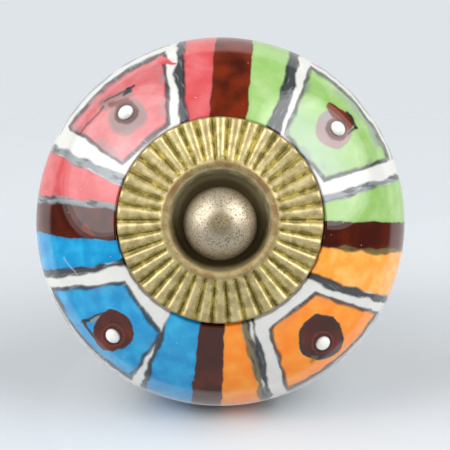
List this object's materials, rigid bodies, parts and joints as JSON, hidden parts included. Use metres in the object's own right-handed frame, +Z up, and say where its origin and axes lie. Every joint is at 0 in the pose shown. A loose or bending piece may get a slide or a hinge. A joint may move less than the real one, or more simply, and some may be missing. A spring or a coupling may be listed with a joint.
{
  "type": "cabinet knob",
  "caption": "Round mushroom shaped glazed ceramic cabinet knob, hand painted, with a fluted brass rosette, a dome headed through bolt, a brass base flange, washer and nut.",
  "frame": {"origin": "middle of the base flange's flat back face, where it lies against the door", "axes": "+Y along the knob's axis, out of the back face and along the bolt; the painted face looks along -Y; +Z up"},
  "size_m": [0.042, 0.0707, 0.042],
  "materials": {
    "painted_glaze": "gloss",
    "rosette_brass": "satin",
    "bolt_steel": "satin",
    "flange_brass": "satin",
    "zinc_plate": "satin"
  },
  "bodies": {
    "root": {"ceramic_body": "painted_glaze", "front_rosette": "rosette_brass", "head_bolt": "bolt_steel", "base_flange": "flange_brass", "flat_washer": "zinc_plate", "hex_nut": "zinc_plate"}
  },
  "joints": []
}
